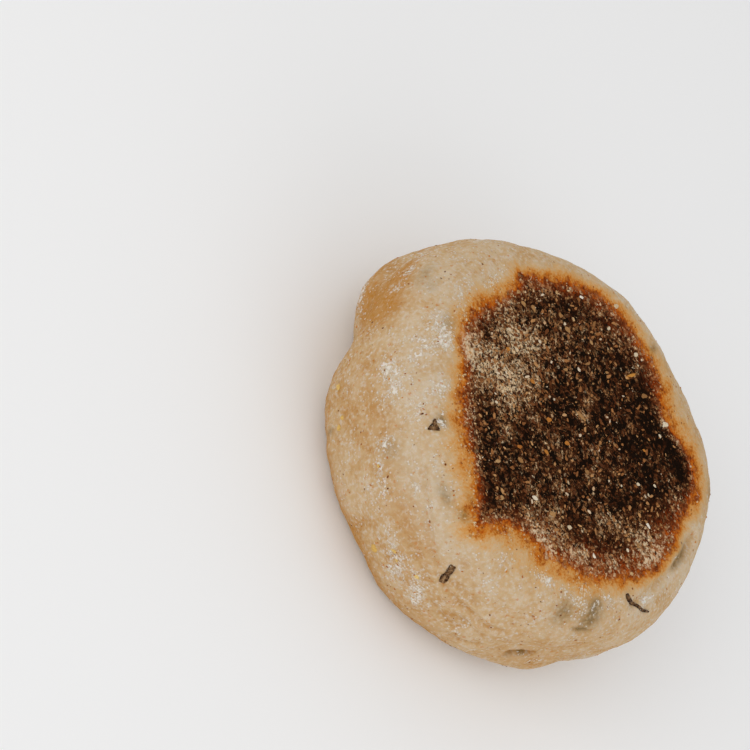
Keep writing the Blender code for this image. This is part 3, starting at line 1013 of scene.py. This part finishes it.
def lone_grains(name, skin, find, grains, finish):
    """Single grains laid one by one: find gives each one's point and normal from two numbers.

    A turn of 0 lies along +X on a griddled face, and level on the side.
    """
    upright = Vector((0, 1, 0)) if find is on_face else Vector((0, 0, 1))
    noise.seed_set(GRAIN_SEED)
    mesh = bmesh.new()
    tones = mesh.verts.layers.float.new("tone")
    for number, (first, second, length, width, turn) in enumerate(grains):
        point, normal = find(skin, first, second)
        along = upright.cross(normal).normalized()
        lie = Matrix((along, normal.cross(along), normal)).transposed().to_4x4()
        lie = Matrix.Translation(point) @ lie
        lie @= Matrix.Rotation(math.radians(turn), 4, "Z")
        lie @= Matrix.Diagonal((length * MM, width * MM, GRAIN_HEIGHT * width * MM, 1.0))
        ball = bmesh.ops.create_icosphere(mesh, subdivisions=2, radius=0.5)
        for vertex in ball["verts"]:
            stray = noise.noise_vector(vertex.co * 1.9 + Vector((number * 5.1, 0, 0)))
            vertex[tones] = 0.5 + noise.noise(Vector((number * 3.3, 0.5, 0.5)))
            vertex.co = lie @ (vertex.co + RAGGEDNESS * stray)
    mesh.normal_update()
    grains = mesh_of(mesh, name)
    grains.materials.append(finish)
    finish_piece(place_object(name, grains))


def laid_grains(skin):
    """The largest grains of semolina on the scorched face, and of maize on the side."""
    pale = toasted_grain("pale_semolina", ((0.0, "#CDB591"), (1.0, "#F0E6D4"), (0.5, "#DECDB0")))
    tan = toasted_grain("tan_semolina", ((0.0, "#8E6238"), (1.0, "#CBA778"), (0.5, "#B08453")))
    gold = toasted_grain("golden_semolina", ((0.0, "#A5602A"), (1.0, "#CF9040"), (0.5, "#BA7832")))
    maize = toasted_grain("maize_meal", ((0.0, "#CFA55A"), (1.0, "#E6C682"), (0.5, "#DCB566")))
    lone_grains("pale_grains", skin, on_face, PALE_GRAINS, pale)
    lone_grains("tan_grains", skin, on_face, TAN_GRAINS, tan)
    lone_grains("golden_grains", skin, on_face, GOLD_GRAINS, gold)
    lone_grains("maize_grains", skin, on_side, MAIZE_GRAINS, maize)


def leaf_sheet(name, skin, route, widths, seed):
    """A strip along the crust, with ragged edges. Route in azimuth and latitude, widths in mm."""
    stops = [on_side(skin, azimuth, latitude)[0] for azimuth, latitude in route]
    mesh = bmesh.new()
    middles = mesh.verts.layers.float.new("middle")
    rows = []
    for step in range(CHIVE_ROWS):
        along = step / (CHIVE_ROWS - 1) * (len(stops) - 1)
        part = min(int(along), len(stops) - 2)
        centre = stops[part].lerp(stops[part + 1], along - part)
        way = (stops[part + 1] - stops[part]).normalized()
        _, normal, _, _ = skin.find_nearest(centre)
        side = normal.cross(way).normalized()
        width = np.interp(along / (len(stops) - 1), np.linspace(0, 1, len(widths)), widths) * MM
        row = []
        for column in range(CHIVE_COLUMNS):
            share = column / (CHIVE_COLUMNS - 1) - 0.5
            edge = Vector((step * 0.8, math.copysign(3, share), seed))
            spot = centre + side * (share * width * (1 + 0.35 * noise.noise(edge)))
            point, outward, _, _ = skin.find_nearest(spot)
            lift = CHIVE_LIFT_MM * (1 - 1.2 * abs(share)) * MM
            vertex = mesh.verts.new(point + outward * lift)
            vertex[middles] = (1 - 2 * abs(share)) * min(1.0, width / BROAD_CHIVE)
            row.append(vertex)
        rows.append(row)
    for before, after in zip(rows, rows[1:]):
        for column in range(CHIVE_COLUMNS - 1):
            mesh.faces.new((before[column], before[column + 1], after[column + 1], after[column]))
    bmesh.ops.recalc_face_normals(mesh, faces=mesh.faces)
    return place_object(name, mesh_of(mesh, name))


def chives(skin):
    """Scraps of chopped leaf, each lying along the crust."""
    leaf = dried_chive()
    for seed, (name, route, widths) in enumerate(CHIVES):
        piece = leaf_sheet(name, skin, route, widths, seed)
        solid = piece.modifiers.new("thick", "SOLIDIFY")
        solid.thickness = CHIVE_THICKNESS_MM * MM
        solid.offset = 0.0
        soft = piece.modifiers.new("soft", "SUBSURF")
        soft.levels = soft.render_levels = 1
        piece = place_object(name, finished_mesh(piece, name))
        piece.data.shade_smooth()
        piece.data.materials.append(leaf)
        finish_piece(piece)


# ----------------------------------------
# Floor, light and camera.


def pale_floor():
    sheet = bmesh.new()
    bmesh.ops.create_grid(sheet, x_segments=1, y_segments=1, size=3.0)
    floor = place_object("floor", mesh_of(sheet, "floor"))
    card, tree, shader = new_material("pale_card")
    join(tree, shader, {"Base Color": rgb("#F8F8F8"), "Roughness": 0.9})
    floor.data.materials.append(card)


def soft_light(name, towards, distance, size, power):
    """A square soft box shining at the muffin from the given side."""
    lamp = bpy.data.lights.new(name, "AREA")
    lamp.size = size
    lamp.energy = power
    box = bpy.data.objects.new(name, lamp)
    side = Vector(towards).normalized()
    box.location = MIDDLE + side * distance
    box.rotation_mode = "QUATERNION"
    box.rotation_quaternion = side.to_track_quat("Z", "Y")
    bpy.context.scene.collection.objects.link(box)


def studio():
    world = bpy.data.worlds.new("pale_room")
    bpy.context.scene.world = world
    world.use_nodes = True
    sky = world.node_tree.nodes["Background"]
    join(world.node_tree, sky, {"Color": rgb("#FFFFFF"), "Strength": 0.72})
    soft_light("window", (-0.40, -0.75, 0.55), 0.9, 0.6, 1.8)
    soft_light("reflector", (0.85, -0.35, 0.35), 0.9, 0.8, 1.2)
    bpy.context.scene.view_settings.view_transform = "Standard"


def camera():
    """It looks down on the muffin, turned so that the browned face looks to the right."""
    data = bpy.data.cameras.new("camera")
    data.sensor_width = 36.0
    data.lens = 138.2
    data.clip_end = 20.0
    eye = bpy.data.objects.new("camera", data)
    place = Vector((-26.37, -445.84, 419.05)) * MM
    right = Vector((0.4305, 0.6270, 0.6493)).normalized()
    back = Vector((0.0, -0.7193, 0.6947)).normalized()
    up = back.cross(right).normalized()
    turned = Matrix((right, up, back)).transposed()
    eye.matrix_world = Matrix.Translation(place) @ turned.to_4x4()
    bpy.context.scene.collection.objects.link(eye)
    bpy.context.scene.camera = eye


def muffin():
    crust = crust_mesh()
    skin = tree_of(crust)
    strewn_grains(crust)
    laid_grains(skin)
    chives(skin)
    crust.materials.append(griddled_dough())
    piece = place_object("muffin_crust", crust)
    finish_piece(piece)
    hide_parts(LOAF)


pale_floor()
studio()
camera()
muffin()
